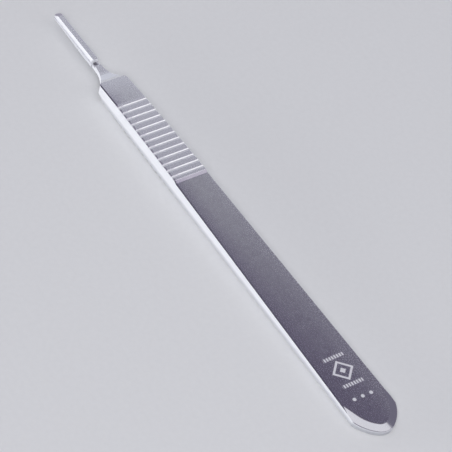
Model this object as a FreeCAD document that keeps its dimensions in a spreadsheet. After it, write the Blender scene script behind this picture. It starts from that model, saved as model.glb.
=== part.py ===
import FreeCAD, Part
import math
import operator
import os
import Sketcher
from FreeCAD import Vector

# A flat scalpel handle, one piece of stainless steel. It lies on its underside (z = 0),
# its length runs along X with the blade fitting towards +X, and the origin is at the
# middle of the rest plane. A station is a distance back from the fitting's tip.

SIZES = {
    "overallLength": 125.0,
    "tailWidth": 10.6,
    "shoulderWidth": 6.9,
    "gripThickness": 3.85,
    "backThickness": 3.5,
    "tailThickness": 1.75,
    # Rounded tail with a broad bevel
    "tailCornerLength": 4.9,
    "tailNoseRadius": 3.5,
    "tailFlankRadius": 9.0,
    "tailBevelWidth": 1.5,
    "tailBevelDrop": 0.35,
    # Shoulder, neck and the hollows between them
    "shoulderStation": 23.2,
    "shoulderRadius": 0.9,
    "neckStation": 17.3,
    "neckWidth": 1.45,
    "neckThickness": 1.2,
    "faceHollowStation": 19.3,
    "padDrop": 0.25,
    "padLead": 0.3,
    "underHollowStation": 22.2,
    "underLipSetback": 1.9,
    # Raised grip and its grooves
    "gripStation": 30.1,
    "gripLength": 24.0,
    "gripRamp": 0.7,
    "grooveStation": 30.95,
    "groovePitch": 1.79,
    "grooveCount": 13,
    "grooveRadius": 0.42,
    "grooveDepth": 0.28,
    # Blade fitting
    "headStation": 16.0,
    "headWidth": 1.76,
    "headHeight": 0.77,
    "headBevelWidth": 0.32,
    "headBevelDrop": 0.36,
    "headCornerRadius": 0.35,
    "tipWidth": 1.54,
    "tipLength": 0.5,
    "noseLength": 1.45,
    "noseDrop": 0.72,
    "slotHeight": 0.42,
    "webInset": 0.115,
    "baseRiseStation": 13.0,
    "baseTipThickness": 0.17,
    "seatShortLength": 1.1,
    "seatSlant": 1.2,
    # Softened long edges
    "faceEdgeBevel": 0.2,
    "floorEdgeBevel": 0.15,
}

# Distance that a cut reaches past the solid
MARGIN = 2.0
# Places closer together than this are the same place
NEAR = 1e-4
# Depth of the tail bevel's cut in drops: past one, so that it runs out beyond the outline
BEVEL_DEPTH = 1.15


class Size:
    """A length: its value now, and the expression that ties it to the sheet."""

    def __init__(self, value, text):
        self.value = value
        self.text = text

    def __add__(self, other):
        return joined(self, other, "+", operator.add)

    def __sub__(self, other):
        return joined(self, other, "-", operator.sub)

    def __mul__(self, other):
        return joined(self, other, "*", operator.mul)

    def __truediv__(self, other):
        return joined(self, other, "/", operator.truediv)

    def __neg__(self):
        return Size(-self.value, "(-%s)" % self.text)


def as_size(number):
    if isinstance(number, Size):
        return number
    return Size(float(number), "%.6g" % number if number >= 0 else "(%.6g)" % number)


def joined(left, right, sign, work):
    left = as_size(left)
    right = as_size(right)
    return Size(work(left.value, right.value), "(%s %s %s)" % (left.text, sign, right.text))


def named(alias):
    return Size(SIZES[alias], "Sizes." + alias)


# The document, its sheet of sizes and its one body
document = FreeCAD.newDocument("ScalpelHandle")
sheet = document.addObject("Spreadsheet::Sheet", "Sizes")
for row, (alias, value) in enumerate(SIZES.items(), start=1):
    sheet.set("A%d" % row, alias)
    sheet.set("B%d" % row, str(value))
    sheet.setAlias("B%d" % row, alias)
document.recompute()

body = document.addObject("PartDesign::Body", "Handle")
body.Label = "handle"
planes = {feature.Role: feature for feature in body.Origin.OriginFeatures}


def station(distance):
    """X of a place that lies a distance back from the fitting's tip."""
    return named("overallLength") / 2 - distance


def new_sketch(name, plane, height=None):
    """A sketch on one of the body's planes; a height lifts one from the rest plane."""
    sketch = body.newObject("Sketcher::SketchObject", name)
    sketch.AttachmentSupport = [(planes[plane], "")]
    sketch.MapMode = "FlatFace"
    if height is not None:
        sketch.setExpression("AttachmentOffset.Base.z", height.text)
    return sketch


def tie(sketch, kind, *where):
    """Adds one constraint; a Size at the end becomes its value and its expression."""
    size = where[-1] if isinstance(where[-1], Size) else None
    if size is None:
        return sketch.addConstraint(Sketcher.Constraint(kind, *where))
    index = sketch.addConstraint(Sketcher.Constraint(kind, *where[:-1], size.value))
    sketch.setExpression("Constraints[%d]" % index, size.text)
    return index


def place(sketch, edge, end, x, y):
    """Ties an edge's start (1), end (2) or centre (3) to a place in the sketch."""
    for kind, value in (("DistanceX", x), ("DistanceY", y)):
        if isinstance(value, Size) and abs(value.value) > 1e-9:
            tie(sketch, kind, -1, 1, edge, end, value)
        else:
            axis = -2 if kind == "DistanceX" else -1
            tie(sketch, "PointOnObject", edge, end, axis)


def spot(x, y):
    return Vector(as_size(x).value, as_size(y).value, 0)


def line(sketch, start, end):
    return sketch.addGeometry(Part.LineSegment(spot(*start), spot(*end)), False)


def arc(sketch, centre, radius, start, end):
    """An arc drawn anticlockwise from start to end."""
    circle = Part.Circle(centre, Vector(0, 0, 1), radius)
    curve = Part.ArcOfCircle(circle, circle.parameter(start), circle.parameter(end))
    return sketch.addGeometry(curve, False)


def arc_between(sketch, centre, radius, first, last, anticlockwise):
    """An arc, with the numbers of its ends at the first and at the last place."""
    if anticlockwise:
        return arc(sketch, centre, radius, first, last), 1, 2
    return arc(sketch, centre, radius, last, first), 2, 1


def mirrored(point):
    """A pair of coordinates on the other side of the X axis."""
    return (point[0], -as_size(point[1]))


def sided(point, sign):
    """A vector on its own side of the X axis (1) or on the other side (-1)."""
    return Vector(point.x, point.y * sign, 0)


def closed_chain(sketch, corners):
    """Straight edges round a ring of corners, each corner tied to its place."""
    edges = [line(sketch, corners[i - 1], corners[i]) for i in range(len(corners))]
    for i, edge in enumerate(edges):
        tie(sketch, "Coincident", edges[i - 1], 2, edge, 1)
        place(sketch, edge, 2, *corners[i])
    return edges


def crossing(centre_a, radius_a, centre_b, radius_b):
    """Where two circles cross, on the left of the way from the first centre to the second."""
    way = centre_b - centre_a
    along = (radius_a ** 2 - radius_b ** 2 + way.Length ** 2) / (2 * way.Length)
    aside = math.sqrt(radius_a ** 2 - along ** 2)
    forward = Vector(way).normalize()
    return centre_a + forward * along + Vector(-forward.y, forward.x, 0) * aside


# Plan outline: rounded tail, straight long edges, shoulders flaring in to the neck, and
# the fitting's narrow tongue. Both halves are tied as mirror images about the X axis.
half_length = named("overallLength") / 2
tail_corner = (named("tailCornerLength") - half_length, named("tailWidth") / 2)
shoulder = (station(named("shoulderStation")), named("shoulderWidth") / 2)
neck_end = (station(named("neckStation")), named("neckWidth") / 2)
neck_front = (station(named("headStation")), named("neckWidth") / 2)
head_back = (station(named("headStation")), named("headWidth") / 2)
head_front = (station(named("tipLength")), named("tipWidth") / 2)

# Centres of the arcs round the tail: the nose's on the axis, and the upper flank's
nose_radius = named("tailNoseRadius")
flank_radius = named("tailFlankRadius")
nose_centre = spot(nose_radius - half_length, 0)
centre_gap = flank_radius - nose_radius
flank_centre = crossing(spot(*tail_corner), flank_radius.value, nose_centre, centre_gap.value)

# Heights of the neck's two faces and of the floor of the fitting's slots
neck_top = (named("gripThickness") + named("neckThickness")) / 2
neck_bottom = (named("gripThickness") - named("neckThickness")) / 2
slot_floor = neck_top - named("slotHeight")

# The back face falls evenly from the rear of the grip to the tail's end
grip_back = station(named("gripStation") + named("gripLength"))
tail_slope = (named("backThickness") - named("tailThickness")) / (grip_back + half_length)


def tail_meet(radius):
    """Where the upper flank meets the nose, for a nose of one radius about its centre."""
    return nose_centre + (nose_centre - flank_centre).normalize() * radius.value


def draw_plan():
    plan = new_sketch("PlanOutline", "XY_Plane")
    upper = [tail_corner, shoulder, neck_end, neck_front, head_back, head_front]
    lower = [mirrored(point) for point in upper]

    # Straight runs of both sides: long edge, neck, back of the head, side of the tongue
    runs = {}
    for side, points in (("upper", upper), ("lower", lower)):
        edge = line(plan, points[0], points[1])
        neck = line(plan, points[2], points[3])
        step = line(plan, points[3], points[4])
        tongue = line(plan, points[4], points[5])
        tie(plan, "Coincident", neck, 2, step, 1)
        tie(plan, "Coincident", step, 2, tongue, 1)
        runs[side] = (edge, neck, step, tongue)
    ties = ((0, 1, tail_corner), (0, 2, shoulder), (1, 1, neck_end), (2, 1, neck_front),
            (3, 1, head_back), (3, 2, head_front))
    for which, end, point in ties:
        place(plan, runs["upper"][which], end, *point)
        tie(plan, "Symmetric", runs["upper"][which], end, runs["lower"][which], end, -1)

    # Flares: hollow arcs that leave the neck along its line and end at the shoulders
    rise = (shoulder[1] - neck_end[1]).value
    run = (neck_end[0] - shoulder[0]).value
    flare_radius = (rise ** 2 + run ** 2) / (2 * rise)
    centre = spot(neck_end[0], neck_end[1] + flare_radius)
    for side, sign in (("upper", 1), ("lower", -1)):
        first = sided(spot(*shoulder), sign)
        last = sided(spot(*neck_end), sign)
        flare, outer, inner = arc_between(plan, sided(centre, sign), flare_radius, first, last, sign > 0)
        tie(plan, "Coincident", flare, outer, runs[side][0], 2)
        tie(plan, "Tangent", flare, inner, runs[side][1], 1)

    # Tip: one arc across the axis
    tip_half = named("tipWidth") / 2
    tip_length = named("tipLength")
    tip_radius = (tip_length * tip_length + tip_half * tip_half) / (tip_length * 2)
    tip_centre = spot(half_length - tip_radius, 0)
    tip = arc(plan, tip_centre, tip_radius.value, spot(*mirrored(head_front)), spot(*head_front))
    tie(plan, "Coincident", tip, 1, runs["lower"][3], 2)
    tie(plan, "Coincident", tip, 2, runs["upper"][3], 2)
    tie(plan, "DistanceX", -1, 1, tip, 3, half_length - tip_radius)

    # Tail: a nose arc on the axis between two flatter flanks that run to the corners
    meet = tail_meet(nose_radius)
    nose = arc(plan, nose_centre, nose_radius.value, meet, sided(meet, -1))
    place(plan, nose, 3, nose_radius - half_length, 0)
    tie(plan, "Radius", nose, nose_radius)
    for side, sign in (("upper", 1), ("lower", -1)):
        centre = sided(flank_centre, sign)
        first = sided(spot(*tail_corner), sign)
        last = sided(meet, sign)
        flank, outer, inner = arc_between(plan, centre, flank_radius.value, first, last, sign > 0)
        tie(plan, "Tangent", nose, 1 if sign > 0 else 2, flank, inner)
        tie(plan, "Coincident", flank, outer, runs[side][0], 1)
        tie(plan, "Radius", flank, flank_radius)
    return plan


def check(feature):
    """Recomputes, and stops if the feature or its sketch has failed."""
    document.recompute()
    failed = [item.Label for item in document.Objects if {"Invalid", "Error"} & set(item.State)]
    if failed or feature.Shape.isNull() or not feature.Shape.isValid():
        raise RuntimeError("%s failed, with %s" % (feature.Label, failed))
    return feature


def add_cut(name, sketch, depth=None, upwards=False, taper=None):
    """A pocket through everything both ways, or of one depth, that must remove metal."""
    before = body.Tip.Shape.Volume
    cut = body.newObject("PartDesign::Pocket", name)
    cut.Profile = sketch
    if depth is None:
        cut.Type = "ThroughAll"
        cut.Midplane = True
    else:
        cut.Type = "Length"
        cut.setExpression("Length", depth.text)
        cut.Reversed = upwards
        if taper is not None:
            cut.setExpression("TaperAngle", taper)
    sketch.Visibility = False
    check(cut)
    if cut.Shape.Volume > before - 1e-3:
        raise RuntimeError("%s removes nothing" % name)
    return cut


plan = draw_plan()
blank = body.newObject("PartDesign::Pad", "Blank")
blank.Profile = plan
blank.setExpression("Length", named("gripThickness").text)
plan.Visibility = False
check(blank)


def edge_names(test):
    """Names of the body's edges that pass a test on their box and middle point."""
    names = []
    for number, edge in enumerate(body.Tip.Shape.Edges, start=1):
        middle = edge.valueAt((edge.FirstParameter + edge.LastParameter) / 2)
        if test(edge.BoundBox, middle):
            names.append("Edge%d" % number)
    return names


def dress(kind, name, test, key, length):
    """A fillet or chamfer, its one length under a key, on the edges that pass a test."""
    names = edge_names(test)
    if not names:
        raise RuntimeError("%s finds no edge" % name)
    base = body.Tip
    feature = body.newObject("PartDesign::" + kind, name)
    feature.Base = (base, names)
    feature.setExpression(key, length.text)
    return check(feature)


def is_shoulder_corner(box, middle):
    return box.ZLength > NEAR and abs(middle.x - shoulder[0].value) < NEAR


dress("Fillet", "ShoulderCorners", is_shoulder_corner, "Radius", named("shoulderRadius"))


# Side profile above the metal: tail and back face, step up to the raised grip, lip of
# the pad in front of it, hollow down to the neck, and the fitting's head with its nose
def draw_face_profile():
    profile = new_sketch("FaceProfile", "XZ_Plane")
    top = named("gripThickness")
    head_top = neck_top + named("headHeight")
    outside = top + MARGIN
    back = [
        (-half_length - MARGIN, outside),
        (-half_length - MARGIN, named("tailThickness") - tail_slope * MARGIN),
        (grip_back, named("backThickness")),
        (grip_back + named("gripRamp"), top),
        (station(named("gripStation")), top),
    ]
    front = [
        (station(named("headStation")), neck_top),
        (station(named("headStation")), head_top),
        (station(named("noseLength")), head_top),
        (half_length, head_top - named("noseDrop")),
        (half_length + MARGIN, head_top - named("noseDrop")),
        (half_length + MARGIN, outside),
    ]
    hollow_end = (station(named("faceHollowStation")), neck_top)
    lip = (station(named("shoulderStation") - named("padLead")), top - named("padDrop"))
    return chain_with_hollow(profile, back, lip, hollow_end, front)


def chain_with_hollow(profile, back, lip, hollow_end, front):
    """A closed ring of straight edges, with an arc from a lip that ends along the neck."""
    ring = front + back
    edges = [line(profile, start, end) for start, end in zip(ring, ring[1:])]
    pad = line(profile, back[-1], lip)
    neck = line(profile, hollow_end, front[0])
    reach = (hollow_end[0] - lip[0]).value
    climb = (lip[1] - hollow_end[1]).value
    radius = (reach ** 2 + climb ** 2) / (2 * climb)
    centre = spot(hollow_end[0], hollow_end[1] + radius)
    ends = (spot(*lip), spot(*hollow_end))
    hollow, outer, inner = arc_between(profile, centre, abs(radius), *ends, climb > 0)
    for before, after in zip(edges, edges[1:]):
        tie(profile, "Coincident", before, 2, after, 1)
    tie(profile, "Coincident", edges[-1], 2, pad, 1)
    tie(profile, "Coincident", pad, 2, hollow, outer)
    tie(profile, "Tangent", hollow, inner, neck, 1)
    tie(profile, "Coincident", neck, 2, edges[0], 1)
    for edge, point in zip(edges, ring):
        place(profile, edge, 1, *point)
    place(profile, edges[-1], 2, *ring[-1])
    place(profile, neck, 1, *hollow_end)
    place(profile, pad, 2, *lip)
    return profile


add_cut("FaceCut", draw_face_profile())


# Side profile below the metal: hollow up to the neck, and the tongue's thin front end
def draw_underside_profile():
    profile = new_sketch("UndersideProfile", "XZ_Plane")
    tip_bottom = slot_floor - named("baseTipThickness")
    below = as_size(-MARGIN)
    front = [
        (station(named("baseRiseStation")), neck_bottom),
        (half_length, tip_bottom),
        (half_length + MARGIN, tip_bottom),
    ]
    back = [
        (half_length + MARGIN, below),
        (station(named("gripStation")), below),
    ]
    hollow_end = (station(named("underHollowStation")), neck_bottom)
    lip = (station(named("shoulderStation") + named("underLipSetback")), as_size(0))
    return chain_with_hollow(profile, back, lip, hollow_end, front)


add_cut("UndersideCut", draw_underside_profile())


def is_long_face_edge(box, middle):
    high = box.ZMin > named("tailThickness").value
    long_way = box.YLength < box.XLength and abs(middle.y) > named("neckWidth").value
    front = (shoulder[0] - named("shoulderRadius")).value
    return high and long_way and tail_corner[0].value < middle.x < front


def is_floor_edge(box, middle):
    front = station(named("underHollowStation")).value
    return box.ZMax < NEAR and box.XLength > box.ZLength and box.XMax < front


dress("Chamfer", "FaceEdges", is_long_face_edge, "Size", named("faceEdgeBevel"))
dress("Chamfer", "FloorEdges", is_floor_edge, "Size", named("floorEdgeBevel"))


# Broad bevel round the tail: it keeps its width along the rounded end and runs out
# through the long sides in a straight sliver
def draw_tail_bevel():
    bevel = new_sketch("TailBevelOutline", "XY_Plane")
    tilt = math.degrees(math.atan(tail_slope.value))
    lift = named("tailThickness") + tail_slope * half_length
    turn = FreeCAD.Rotation(Vector(0, 1, 0), -tilt)
    bevel.AttachmentOffset = FreeCAD.Placement(Vector(0, 0, lift.value), turn)
    bevel.setExpression("AttachmentOffset.Base.z", lift.text)
    bevel.setExpression("AttachmentOffset.Rotation.Angle", "-atan(%s)" % tail_slope.text)

    width = named("tailBevelWidth")
    corner = spot(*tail_corner)
    meet = tail_meet(nose_radius - width)
    spoke = (flank_centre - corner).normalize()
    leave = corner + spoke * width.value
    side = tail_corner[1] + width * 2
    run = Vector(-spoke.y, spoke.x, 0)
    way_out = leave + run * ((side.value - leave.y) / run.y)

    # Inner line of the bevel: nose, flanks, and straight runs out past the long sides
    nose = arc(bevel, nose_centre, (nose_radius - width).value, meet, sided(meet, -1))
    place(bevel, nose, 3, nose_radius - half_length, 0)
    tie(bevel, "Radius", nose, nose_radius - width)
    radius = flank_radius - width
    runs = []
    for sign in (1, -1):
        centre = sided(flank_centre, sign)
        first = sided(leave, sign)
        last = sided(meet, sign)
        flank, outer, inner = arc_between(bevel, centre, radius.value, first, last, sign > 0)
        tie(bevel, "Tangent", flank, inner, nose, 1 if sign > 0 else 2)
        tie(bevel, "Radius", flank, radius)
        guide = bevel.addGeometry(Part.LineSegment(sided(corner, sign), centre), True)
        place(bevel, guide, 1, tail_corner[0], tail_corner[1] * sign)
        tie(bevel, "Coincident", guide, 2, flank, 3)
        tie(bevel, "PointOnObject", flank, outer, guide)
        edge = bevel.addGeometry(Part.LineSegment(first, sided(way_out, sign)), False)
        tie(bevel, "Tangent", edge, 1, flank, outer)
        tie(bevel, "DistanceY", -1, 1, edge, 2, side * sign)
        runs.append(edge)

    # Outer ring, clear of the tail on every side
    far_end = -half_length - width * 2
    far_corner = spot(far_end, side)
    ring = [way_out, far_corner, sided(far_corner, -1), sided(way_out, -1)]
    closing = [bevel.addGeometry(Part.LineSegment(a, b), False) for a, b in zip(ring, ring[1:])]
    tie(bevel, "Coincident", runs[0], 2, closing[0], 1)
    tie(bevel, "Coincident", closing[0], 2, closing[1], 1)
    tie(bevel, "Coincident", closing[1], 2, closing[2], 1)
    tie(bevel, "Coincident", closing[2], 2, runs[1], 2)
    place(bevel, closing[0], 2, far_end, side)
    place(bevel, closing[1], 2, far_end, -side)
    return bevel


bevel_angle = "-atan(Sizes.tailBevelWidth / Sizes.tailBevelDrop)"
bevel_depth = named("tailBevelDrop") * BEVEL_DEPTH
add_cut("TailBevel", draw_tail_bevel(), depth=bevel_depth, taper=bevel_angle)


# Blade fitting: a slot along each side of the tongue, and a seat behind the head that
# ends at a slanted stop
def draw_slots():
    slots = new_sketch("BladeSlots", "XY_Plane", slot_floor)
    web = named("neckWidth") / 2 - named("webInset")
    outside = named("headWidth") / 2 + MARGIN
    back = station(named("headStation"))
    front = half_length + MARGIN
    for sign in (1, -1):
        inner = web * sign
        outer = outside * sign
        closed_chain(slots, [(back, inner), (front, inner), (front, outer), (back, outer)])
    return slots


def draw_seat():
    seat = new_sketch("BladeSeat", "XY_Plane", slot_floor)
    front = station(named("headStation"))
    short_end = front - named("seatShortLength")
    long_end = short_end - named("seatSlant")
    side = named("neckWidth") / 2
    closed_chain(seat, [(front, side), (long_end, side), (short_end, -side), (front, -side)])
    return seat


add_cut("SlotCut", draw_slots(), depth=named("slotHeight"), upwards=True)
add_cut("SeatCut", draw_seat(), depth=named("slotHeight") + MARGIN, upwards=True)


def is_head_back_corner(box, middle):
    upright = box.ZMin > neck_top.value - NEAR and box.ZLength > NEAR
    return upright and abs(middle.x - neck_front[0].value) < NEAR


dress("Fillet", "HeadCorners", is_head_back_corner, "Radius", named("headCornerRadius"))


# The head's two long bevels, each a triangle drawn across the tongue
def draw_head_bevels():
    bevels = new_sketch("HeadBevels", "YZ_Plane", station(named("headStation")))
    top = neck_top + named("headHeight")
    side = named("headWidth") / 2
    slope = named("headBevelDrop") / named("headBevelWidth")
    for sign in (1, -1):
        inner = ((side - named("headBevelWidth")) * sign, top)
        outer = (side * sign, top - named("headBevelDrop"))
        above = (inner[0] - as_size(MARGIN * sign), top + slope * MARGIN)
        below = (outer[0] + as_size(MARGIN * sign), outer[1] - slope * MARGIN)
        closed_chain(bevels, [above, below, (below[0], above[1])])
    return bevels


add_cut("HeadBevelCut", draw_head_bevels(), depth=named("headStation") + MARGIN, upwards=True)


# Grip: one round-bottomed groove across each face, repeated along the grip
def draw_groove():
    groove = new_sketch("GrooveProfile", "XZ_Plane")
    radius = named("grooveRadius")
    reach = radius - named("grooveDepth")
    middle = station(named("grooveStation"))
    for height in (named("gripThickness") + reach, -reach):
        ring = groove.addGeometry(Part.Circle(spot(middle, height), Vector(0, 0, 1), radius.value), False)
        place(groove, ring, 3, middle, height)
        tie(groove, "Radius", ring, radius)
    return groove


first_groove = add_cut("FirstGroove", draw_groove())
grooves = body.newObject("PartDesign::LinearPattern", "Grooves")
grooves.Originals = [first_groove]
grooves.Direction = (planes["X_Axis"], [""])
grooves.Reversed = True
grooves.setExpression("Length", "Sizes.groovePitch * (Sizes.grooveCount - 1)")
grooves.setExpression("Occurrences", "Sizes.grooveCount")
body.Tip = grooves
check(grooves)

if len(body.Shape.Solids) != 1:
    raise RuntimeError("The handle is not one solid")
os.makedirs("parts", exist_ok=True)
body.Shape.exportStep("parts/%s.step" % body.Label)
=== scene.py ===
import math
from types import SimpleNamespace

import bpy
from mathutils import Matrix, Vector


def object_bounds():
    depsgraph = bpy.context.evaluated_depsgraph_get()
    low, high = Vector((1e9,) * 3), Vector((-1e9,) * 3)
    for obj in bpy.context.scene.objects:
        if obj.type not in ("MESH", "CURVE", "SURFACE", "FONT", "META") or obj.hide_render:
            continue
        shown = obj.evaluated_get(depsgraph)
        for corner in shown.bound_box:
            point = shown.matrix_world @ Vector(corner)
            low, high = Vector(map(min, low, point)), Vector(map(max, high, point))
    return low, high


# A scalpel handle lying on a pale floor. The handle itself is the imported solid, and this
# file gives it only its steel, with light and shade painted into its colour, and its etched
# marks, then sets the floor, the light and the camera round it. Places on the handle are in
# millimetres from its middle.
MM = 0.001

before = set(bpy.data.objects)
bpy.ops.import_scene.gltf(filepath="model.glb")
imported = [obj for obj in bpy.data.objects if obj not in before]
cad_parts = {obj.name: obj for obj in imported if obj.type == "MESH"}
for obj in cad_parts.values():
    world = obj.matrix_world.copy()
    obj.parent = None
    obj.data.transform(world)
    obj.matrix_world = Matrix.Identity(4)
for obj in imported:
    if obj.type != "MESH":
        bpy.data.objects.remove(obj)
cad_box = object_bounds()
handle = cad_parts["handle"]
TIP_X = cad_box[1][0] / MM
GRIP_TOP = cad_box[1][2] / MM


def station(distance):
    """X of a place that lies a distance back from the tip."""
    return TIP_X - distance


# Places along the handle, and stretches of it from their rear end to their front end
TAIL_END = station(125.0)
TAIL_CORNER = station(120.4)
GRIP_RAMP = (station(54.2), station(53.4))
GRIP = (station(53.5), station(30.0))
PAD_FRONT = station(22.5)
SEAT = (station(16.7), station(16.0))
TONGUE_REAR = station(16.5)
NOSE_REAR = station(1.45)

# Places across it, and heights above the floor
HALF_WIDTH = 4.5
ARRIS_INSET = (2.0, 2.5)
SEAT_HALF = 0.4
SLOT_FLOOR = 2.1
SEAT_HEIGHTS = (SLOT_FLOOR - 0.03, SLOT_FLOOR + 0.3)
LOW_SHADE_HEIGHTS = (0.4, 1.5)
TAIL_RIM = 1.27
GROOVE_TOP = GRIP_TOP - 0.035

# Kinds of face by the Z of their normals: the values between which each mask fades, and
# for an arris the two that it lies between
UPRIGHT = (0.2, 0.3)
ARRIS = (0.62, 0.78)
SLOPING = (0.8, 0.85)
ETCHABLE = (0.9, 0.98)
LEVEL = (0.985, 0.997)

# Colours of the steel: light where it mirrors, greyer and more violet where it is satin.
# The satin comes as painted shaded and lit copies, and the low wall, arris and rim colours
# are painted shade
POLISHED = ((0.88, 0.89, 0.91, 1), (0.94, 0.95, 0.97, 1))
SHADED_TAIL_SATIN = ((0.36, 0.33, 0.42, 1), (0.46, 0.44, 0.52, 1))
LIT_GRIP_SATIN = ((0.58, 0.57, 0.60, 1), (0.67, 0.67, 0.69, 1))
LIT_SATIN = (0.80, 0.80, 0.83, 1)
SHADED_SATIN = (0.34, 0.31, 0.40, 1)
# Painted shade: the walls darken towards the floor
LOW_WALL_SHADE = (0.45, 0.46, 0.50, 1)
# Painted shade line along the near arris
ARRIS_SHADE = (0.40, 0.37, 0.46, 1)
# Painted shade line under the tail's bevel
RIM_SHADE = (0.25, 0.23, 0.30, 1)
SEAT_SHADE = (0.08, 0.07, 0.10, 1)
ETCHED = (0.86, 0.86, 0.88, 1)

# Shares: how far each place turns to its own colour. All but the etched share are painted
# light and shade
NEAR_SHADE = 0.6
SLOPE_SHADE = 0.6
FAR_PAINTED_LIGHT = 0.4
GRIP_PAINTED_LIGHT = 0.75
PAD_PAINTED_LIGHT = 0.7
LOW_SHADE_SHARE = 0.5
TONGUE_BASE_SHADE = 0.2
SEAT_DARK = 0.85
ETCHED_LIGHT = 0.85

# Roughness of each finish
ROUGH_POLISHED = (0.10, 0.18)
ROUGH_SATIN = (0.24, 0.28)
ROUGH_BRUSHED = (0.74, 0.82)
ROUGH_GROOVE = 0.32
ROUGH_ETCHED = 0.6

# Etched marks near the tail: two bars of short strokes, a plain lozenge between them,
# and a row of three dots
BARS_AT = (station(105.7), station(112.7))
BAR_HALF = (0.42, 2.5)
STROKE_PITCH = 0.62
LOZENGE_AT = station(109.2)
LOZENGE_HALF = 2.25
LOZENGE_LINE = 0.34
LOZENGE_CORE = 0.75
DOTS_AT = station(116.1)
DOTS_ACROSS = (-2.05, 0.0, 2.05)
DOT_RADIUS = 0.42
MARK_SOFT = 0.1


class Nodes:
    """Short ways to add and join the nodes of one node tree."""

    def __init__(self, tree):
        self.tree = tree
        tree.nodes.clear()

    def add(self, kind, inputs=None, **settings):
        """A node with its settings made, and each input linked or set."""
        node = self.tree.nodes.new(kind)
        for name, value in settings.items():
            setattr(node, name, value)
        for key, entry in (inputs or {}).items():
            if isinstance(entry, bpy.types.NodeSocket):
                self.tree.links.new(entry, node.inputs[key])
            else:
                node.inputs[key].default_value = entry
        return node

    def math(self, operation, *values):
        node = self.add("ShaderNodeMath", dict(enumerate(values)), operation=operation)
        return node.outputs[0]

    def product(self, first, *others):
        for other in others:
            first = self.math("MULTIPLY", first, other)
        return first

    def greatest(self, first, *others):
        for other in others:
            first = self.math("MAXIMUM", first, other)
        return first

    def inverse(self, mask):
        return self.math("SUBTRACT", 1, mask)

    def step(self, value, low, high, out_low=0.0, out_high=1.0):
        """A smooth change from out_low to out_high while value goes from low to high."""
        entries = dict(enumerate((value, low, high, out_low, out_high)))
        node = self.add("ShaderNodeMapRange", entries, interpolation_type="SMOOTHSTEP", clamp=True)
        return node.outputs[0]

    def past(self, value, place, soft):
        """1 past a place and 0 before it, with a soft edge."""
        return self.step(value, place - soft, place + soft)

    def before(self, value, place, soft):
        """1 before a place and 0 past it, with a soft edge."""
        return self.step(value, place - soft, place + soft, 1, 0)

    def window(self, value, low, high, soft):
        """1 between two places and 0 outside them, with soft edges."""
        return self.product(self.past(value, low, soft), self.before(value, high, soft))

    def mix(self, share, first, second):
        """Two colours mixed, with a share of the second."""
        node = self.add("ShaderNodeMix", {0: share, 6: first, 7: second}, data_type="RGBA")
        return node.outputs[2]

    def noise(self, position, scale, stretch=(1, 1, 1), detail=2.0, roughness=0.5):
        mapping = self.add("ShaderNodeMapping", {"Vector": position, "Scale": stretch})
        inputs = {"Vector": mapping.outputs[0], "Scale": scale, "Detail": detail, "Roughness": roughness}
        return self.add("ShaderNodeTexNoise", inputs).outputs[0]

    def spread(self, noise, low=0.0, high=1.0):
        """A noise, which seldom leaves its middle values, spread from low to high."""
        return self.step(noise, 0.3, 0.7, low, high)


def new_material(name):
    material = bpy.data.materials.new(name)
    material.use_nodes = True
    return material, Nodes(material.node_tree)


def etched_marks(n, x, y):
    """1 inside the etched marks, 0 outside them."""
    masks = []
    for middle in BARS_AT:
        bar = n.window(x, middle - BAR_HALF[0], middle + BAR_HALF[0], MARK_SOFT)
        ends = n.window(y, -BAR_HALF[1], BAR_HALF[1], MARK_SOFT)
        wave = n.math("SINE", n.product(y, 2 * math.pi / STROKE_PITCH))
        masks.append(n.product(bar, ends, n.step(wave, -0.5, 0.3, 0.35, 1)))

    along = n.math("ABSOLUTE", n.math("SUBTRACT", x, LOZENGE_AT))
    away = n.math("ADD", along, n.math("ABSOLUTE", y))
    masks.append(n.window(away, LOZENGE_HALF - LOZENGE_LINE, LOZENGE_HALF + LOZENGE_LINE, MARK_SOFT))
    masks.append(n.before(away, LOZENGE_CORE, MARK_SOFT))

    for place in DOTS_ACROSS:
        dx = n.math("SUBTRACT", x, DOTS_AT)
        dy = n.math("SUBTRACT", y, place)
        reach = n.math("SQRT", n.math("ADD", n.product(dx, dx), n.product(dy, dy)))
        masks.append(n.before(reach, DOT_RADIUS, MARK_SOFT))
    return n.greatest(*masks)


def finish_and_shade_masks(n, x, y, z, facing):
    """Masks of the handle's finishes and of the places that get painted shade. Facing is 1 on level
    faces and 0 on upright ones.
    """
    grip = n.window(x, *GRIP, soft=0.08)
    groove = n.product(grip, n.before(z, GROOVE_TOP, soft=0.015))
    level = n.product(n.step(facing, *LEVEL), n.inverse(groove))
    sloping = n.step(facing, *SLOPING)
    ramp = n.product(n.window(x, *GRIP_RAMP, soft=0.1), sloping)
    nose = n.product(n.past(x, NOSE_REAR, soft=0.05), sloping)

    wall = n.step(n.math("ABSOLUTE", facing), *UPRIGHT, 1, 0)
    tongue = n.past(x, TONGUE_REAR, soft=0.1)
    # The near arris, where a painted shade line goes
    arris = n.product(n.window(facing, *ARRIS, soft=0.03), n.step(y, *ARRIS_INSET))
    # The tail's wall under its bevel, where a painted shade line goes
    rim = n.product(wall, n.past(z, TAIL_RIM, soft=0.06), n.before(x, TAIL_CORNER, soft=0.5))
    seat_floor = n.product(n.window(x, *SEAT, soft=0.15), n.window(y, -SEAT_HALF, SEAT_HALF, soft=0.15))
    return SimpleNamespace(
        grip=grip,
        groove=groove,
        satin=n.greatest(level, ramp, nose),
        slope=n.greatest(ramp, nose),
        wall=wall,
        base=n.product(tongue, n.before(z, SLOT_FLOOR, soft=0.05)),
        brushed=n.greatest(wall, n.product(tongue, n.inverse(level))),
        arris=arris,
        rim=rim,
        seat=n.product(seat_floor, n.window(z, *SEAT_HEIGHTS, soft=0.03)),
        marks=n.product(etched_marks(n, x, y), n.step(facing, *ETCHABLE)),
    )


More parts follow.
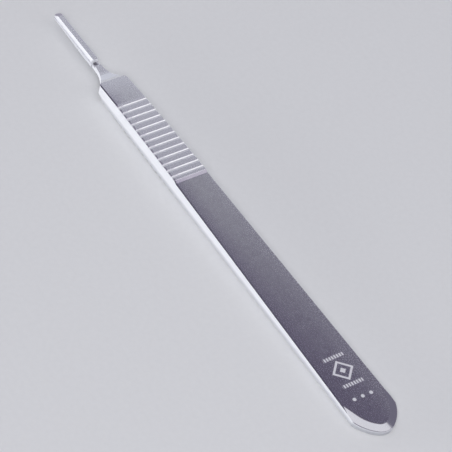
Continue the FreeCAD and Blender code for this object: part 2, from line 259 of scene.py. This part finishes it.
def satin_colour(n, place, x, y, finish):
    """Satin faces: mottled, with painted shade to the tail, the near side and the slopes, and painted
    light on the far side, the grip and the pad.
    """
    spots = n.spread(n.noise(place, 1.1, detail=3.0, roughness=0.6))
    # Painted shade: the satin darkens from the grip to the tail
    forward = n.step(x, TAIL_END, GRIP[0] + 3)
    colour = n.mix(forward, n.mix(spots, *SHADED_TAIL_SATIN), n.mix(spots, *LIT_GRIP_SATIN))
    # Painted shade on the near side, painted light on the far side
    colour = n.mix(n.step(y, 0.0, HALF_WIDTH, 0, NEAR_SHADE), colour, SHADED_SATIN)
    colour = n.mix(n.step(y, -HALF_WIDTH, 0.0, FAR_PAINTED_LIGHT, 0), colour, LIT_SATIN)
    # Painted light on the pad and the grip
    pad_painted_light = n.step(x, GRIP[1] + 0.5, PAD_FRONT, 0, PAD_PAINTED_LIGHT)
    colour = n.mix(n.greatest(n.product(finish.grip, GRIP_PAINTED_LIGHT), pad_painted_light), colour, LIT_SATIN)
    # Painted shade on the slopes
    return n.mix(n.product(finish.slope, SLOPE_SHADE), colour, SHADED_SATIN)


def polished_colour(n, streaks, z, finish):
    """Bevels, hollow and walls: painted shade darkens the walls and the tongue's base towards the floor,
    and painted shade lines run along the near arrises and under the tail's bevel.
    """
    colour = n.mix(streaks, *POLISHED)
    # Painted shade on the low walls, and on the tongue's walls below the slot floor
    low = n.step(z, *LOW_SHADE_HEIGHTS, LOW_SHADE_SHARE, 0)
    low = n.greatest(low, n.product(finish.base, TONGUE_BASE_SHADE))
    colour = n.mix(n.product(finish.wall, low), colour, LOW_WALL_SHADE)
    # Painted shade line on the near arris
    colour = n.mix(finish.arris, colour, ARRIS_SHADE)
    # Painted shade line under the tail's bevel
    return n.mix(finish.rim, colour, RIM_SHADE)


def steel():
    """Stainless steel: satin level faces, brushed walls and tongue, the rest polished."""
    material, n = new_material("handle_steel")
    geometry = n.add("ShaderNodeNewGeometry")
    to_mm = {0: geometry.outputs["Position"], 1: (1 / MM, 1 / MM, 1 / MM)}
    place = n.add("ShaderNodeVectorMath", to_mm, operation="MULTIPLY").outputs[0]
    x, y, z = n.add("ShaderNodeSeparateXYZ", {0: place}).outputs
    facing = n.add("ShaderNodeSeparateXYZ", {0: geometry.outputs["True Normal"]}).outputs[2]
    finish = finish_and_shade_masks(n, x, y, z, facing)
    fine = n.noise(place, 5.0)
    streaks = n.noise(place, 1.0, stretch=(0.25, 4.0, 4.0), detail=3.0)

    satin = satin_colour(n, place, x, y, finish)
    colour = n.mix(finish.satin, polished_colour(n, streaks, z, finish), satin)
    colour = n.mix(n.product(finish.seat, SEAT_DARK), colour, SEAT_SHADE)
    colour = n.mix(n.product(finish.marks, ETCHED_LIGHT), colour, ETCHED)

    rough = n.greatest(
        n.spread(streaks, *ROUGH_POLISHED),
        n.product(finish.satin, n.spread(fine, *ROUGH_SATIN)),
        n.product(finish.brushed, n.spread(streaks, *ROUGH_BRUSHED)),
        n.product(finish.groove, ROUGH_GROOVE),
        n.product(finish.marks, ROUGH_ETCHED),
    )

    # A fine grain in the satin, and marks etched a little below it
    grain = n.math("ADD", n.product(fine, 0.6), n.product(streaks, 0.4))
    height = n.math("SUBTRACT", n.product(grain, finish.satin), n.product(finish.marks, 1.5))
    bump = n.add("ShaderNodeBump", {"Strength": 0.05, "Distance": 0.02 * MM, "Height": height})
    metal = n.inverse(n.product(finish.marks, 0.5))
    surface = {"Base Color": colour, "Metallic": metal, "Roughness": rough, "Normal": bump.outputs[0]}
    shader = n.add("ShaderNodeBsdfPrincipled", surface)
    n.add("ShaderNodeOutputMaterial", {"Surface": shader.outputs[0]})
    return material


handle.data.materials.clear()
handle.data.materials.append(steel())

# Floor: one plane that carries the handle, a hair below its underside
FLOOR_HALF = 3.0
FLOOR_GAP = 0.02 * MM
FLOOR_COLOURS = ((0.70, 0.71, 0.71, 1), (0.74, 0.75, 0.75, 1))


def floor_material():
    material, n = new_material("floor_pale")
    geometry = n.add("ShaderNodeNewGeometry")
    grain = n.noise(geometry.outputs["Position"], 900.0)
    surface = {"Base Color": n.mix(grain, *FLOOR_COLOURS), "Roughness": 0.75}
    shader = n.add("ShaderNodeBsdfPrincipled", surface)
    n.add("ShaderNodeOutputMaterial", {"Surface": shader.outputs[0]})
    return material


def make_floor():
    mesh = bpy.data.meshes.new("floor")
    signs = ((-1, -1), (1, -1), (1, 1), (-1, 1))
    corners = [(FLOOR_HALF * along, FLOOR_HALF * across, 0) for along, across in signs]
    mesh.from_pydata(corners, [], [(0, 1, 2, 3)])
    mesh.materials.append(floor_material())
    floor = bpy.data.objects.new("floor", mesh)
    bpy.context.collection.objects.link(floor)
    floor.location.z = -FLOOR_GAP
    return floor


make_floor()


def panel(name, place, size, power, aim=None, turn=0.0):
    """A rectangular light, aimed at a place or, without one, straight down."""
    light = bpy.data.lights.new(name, "AREA")
    light.shape = "RECTANGLE"
    light.size, light.size_y = size
    light.energy = power
    lamp = bpy.data.objects.new(name, light)
    lamp.location = place
    if aim is None:
        lamp.rotation_euler = (0, 0, math.radians(turn))
    else:
        lamp.rotation_mode = "QUATERNION"
        lamp.rotation_quaternion = (Vector(aim) - Vector(place)).to_track_quat("-Z", "Y")
    bpy.context.collection.objects.link(lamp)


# Light: four soft panels. The one overhead shows in the tail's bevels, the low one
# brightens the near wall, and the far one shows in the grooves.
panel("overhead", (-0.014, 0.014, 0.8), (0.8, 1.2), 1.6, turn=-45)
panel("key", (-0.9, 0.9, 1.2), (0.8, 0.8), 13, aim=(0, 0, 0))
panel("low", (0.85, 1.1, 0.08), (1.3, 0.22), 11.5, aim=(0, 0, 0.02))
panel("far", (-0.9, -0.66, 0.80), (0.9, 1.3), 3.7, aim=(0, 0, 0))

# Sky: brightest low in front of the tip, so that the face, which mirrors it, darkens
# towards the tail
SKY_LEAN = (1.0, 0.8, -1.0)
SKY_LEAN_STEP = (-0.80, -0.48)
SKY_NEAR_STEP = (0.25, 0.55)
SKY_DARK = (0.15, 0.14, 0.19, 1)
SKY_LIGHT = (0.60, 0.61, 0.68, 1)


def make_sky():
    world = bpy.data.worlds.new("studio")
    world.use_nodes = True
    n = Nodes(world.node_tree)
    direction = n.add("ShaderNodeTexCoord").outputs["Generated"]
    dot = {0: direction, 1: SKY_LEAN}
    lean = n.add("ShaderNodeVectorMath", dot, operation="DOT_PRODUCT").outputs["Value"]
    across = n.add("ShaderNodeSeparateXYZ", {0: direction}).outputs[1]
    light = n.product(n.step(lean, *SKY_LEAN_STEP), n.step(across, *SKY_NEAR_STEP, 1, 0))
    background = n.add("ShaderNodeBackground", {"Color": n.mix(light, SKY_DARK, SKY_LIGHT)})
    n.add("ShaderNodeOutputWorld", {"Surface": background.outputs[0]})
    bpy.context.scene.world = world


make_sky()
bpy.context.scene.view_settings.view_transform = "Standard"

# Camera: the photo's viewing place, found by fitting the handle's edges to it
CAMERA_PLACE = Vector((-0.26195, 0.25404, 0.38808))
CAMERA_FOCUS = Vector((-0.00345, -0.00134, 0.0))
CAMERA_ROLL = math.radians(-14.632)
FOCAL_PIXELS = 2582.1
FRAME_PIXELS = 452
SENSOR_WIDTH = 36.0


def make_camera():
    camera = bpy.data.cameras.new("camera")
    camera.sensor_width = SENSOR_WIDTH
    camera.lens = SENSOR_WIDTH * FOCAL_PIXELS / FRAME_PIXELS
    camera.clip_start = 0.01
    forward = (CAMERA_FOCUS - CAMERA_PLACE).normalized()
    level = forward.cross(Vector((0, 0, 1))).normalized()
    above = level.cross(forward)
    up = above * math.cos(CAMERA_ROLL) + level * math.sin(CAMERA_ROLL)
    right = forward.cross(up)
    turn = Matrix((right, up, -forward)).transposed()
    holder = bpy.data.objects.new("camera", camera)
    holder.matrix_world = Matrix.Translation(CAMERA_PLACE) @ turn.to_4x4()
    bpy.context.collection.objects.link(holder)
    bpy.context.scene.camera = holder


make_camera()
